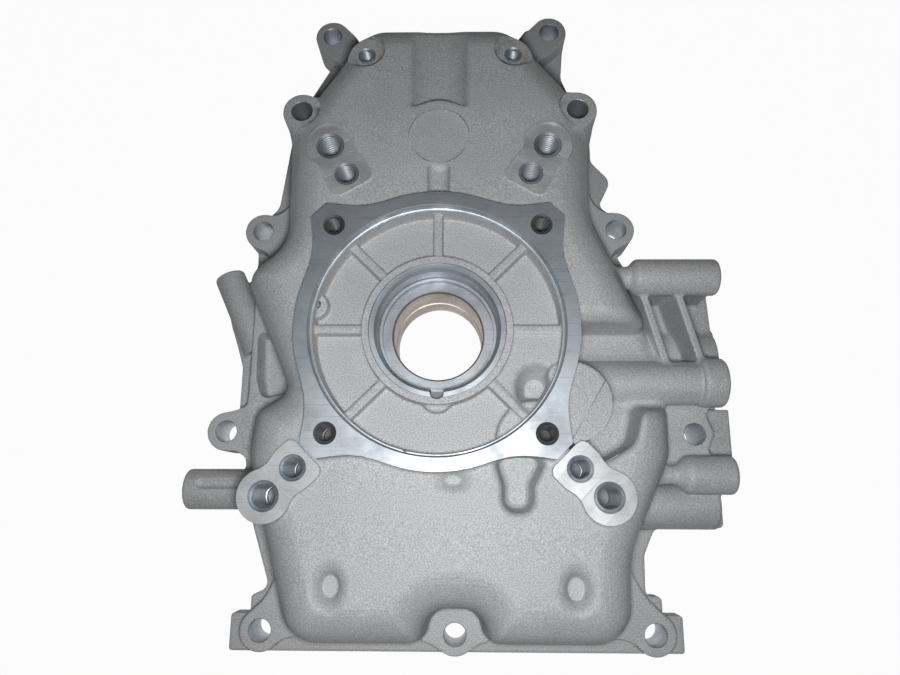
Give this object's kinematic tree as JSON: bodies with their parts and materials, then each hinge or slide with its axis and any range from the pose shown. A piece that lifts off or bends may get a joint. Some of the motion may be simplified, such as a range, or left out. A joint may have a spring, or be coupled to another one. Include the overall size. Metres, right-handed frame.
{
  "type": "crankcase cover",
  "caption": "Die-cast aluminium crankcase cover with a raised power take-off ring, seal and bearing bores, tapped mounting pads, bolt ears and side oil galleries.",
  "frame": {"origin": "where the crankshaft axis meets the plane of the mating face", "axes": "+Z along the crankshaft axis, out of the engine; +Y from the crankshaft towards the camshaft; +X towards the oil galleries"},
  "size_m": [0.2525, 0.318, 0.062],
  "materials": {
    "cast_aluminium": "blasted casting with turned and milled faces"
  },
  "bodies": {
    "root": {"crankcase_cover": "cast_aluminium"}
  },
  "joints": []
}
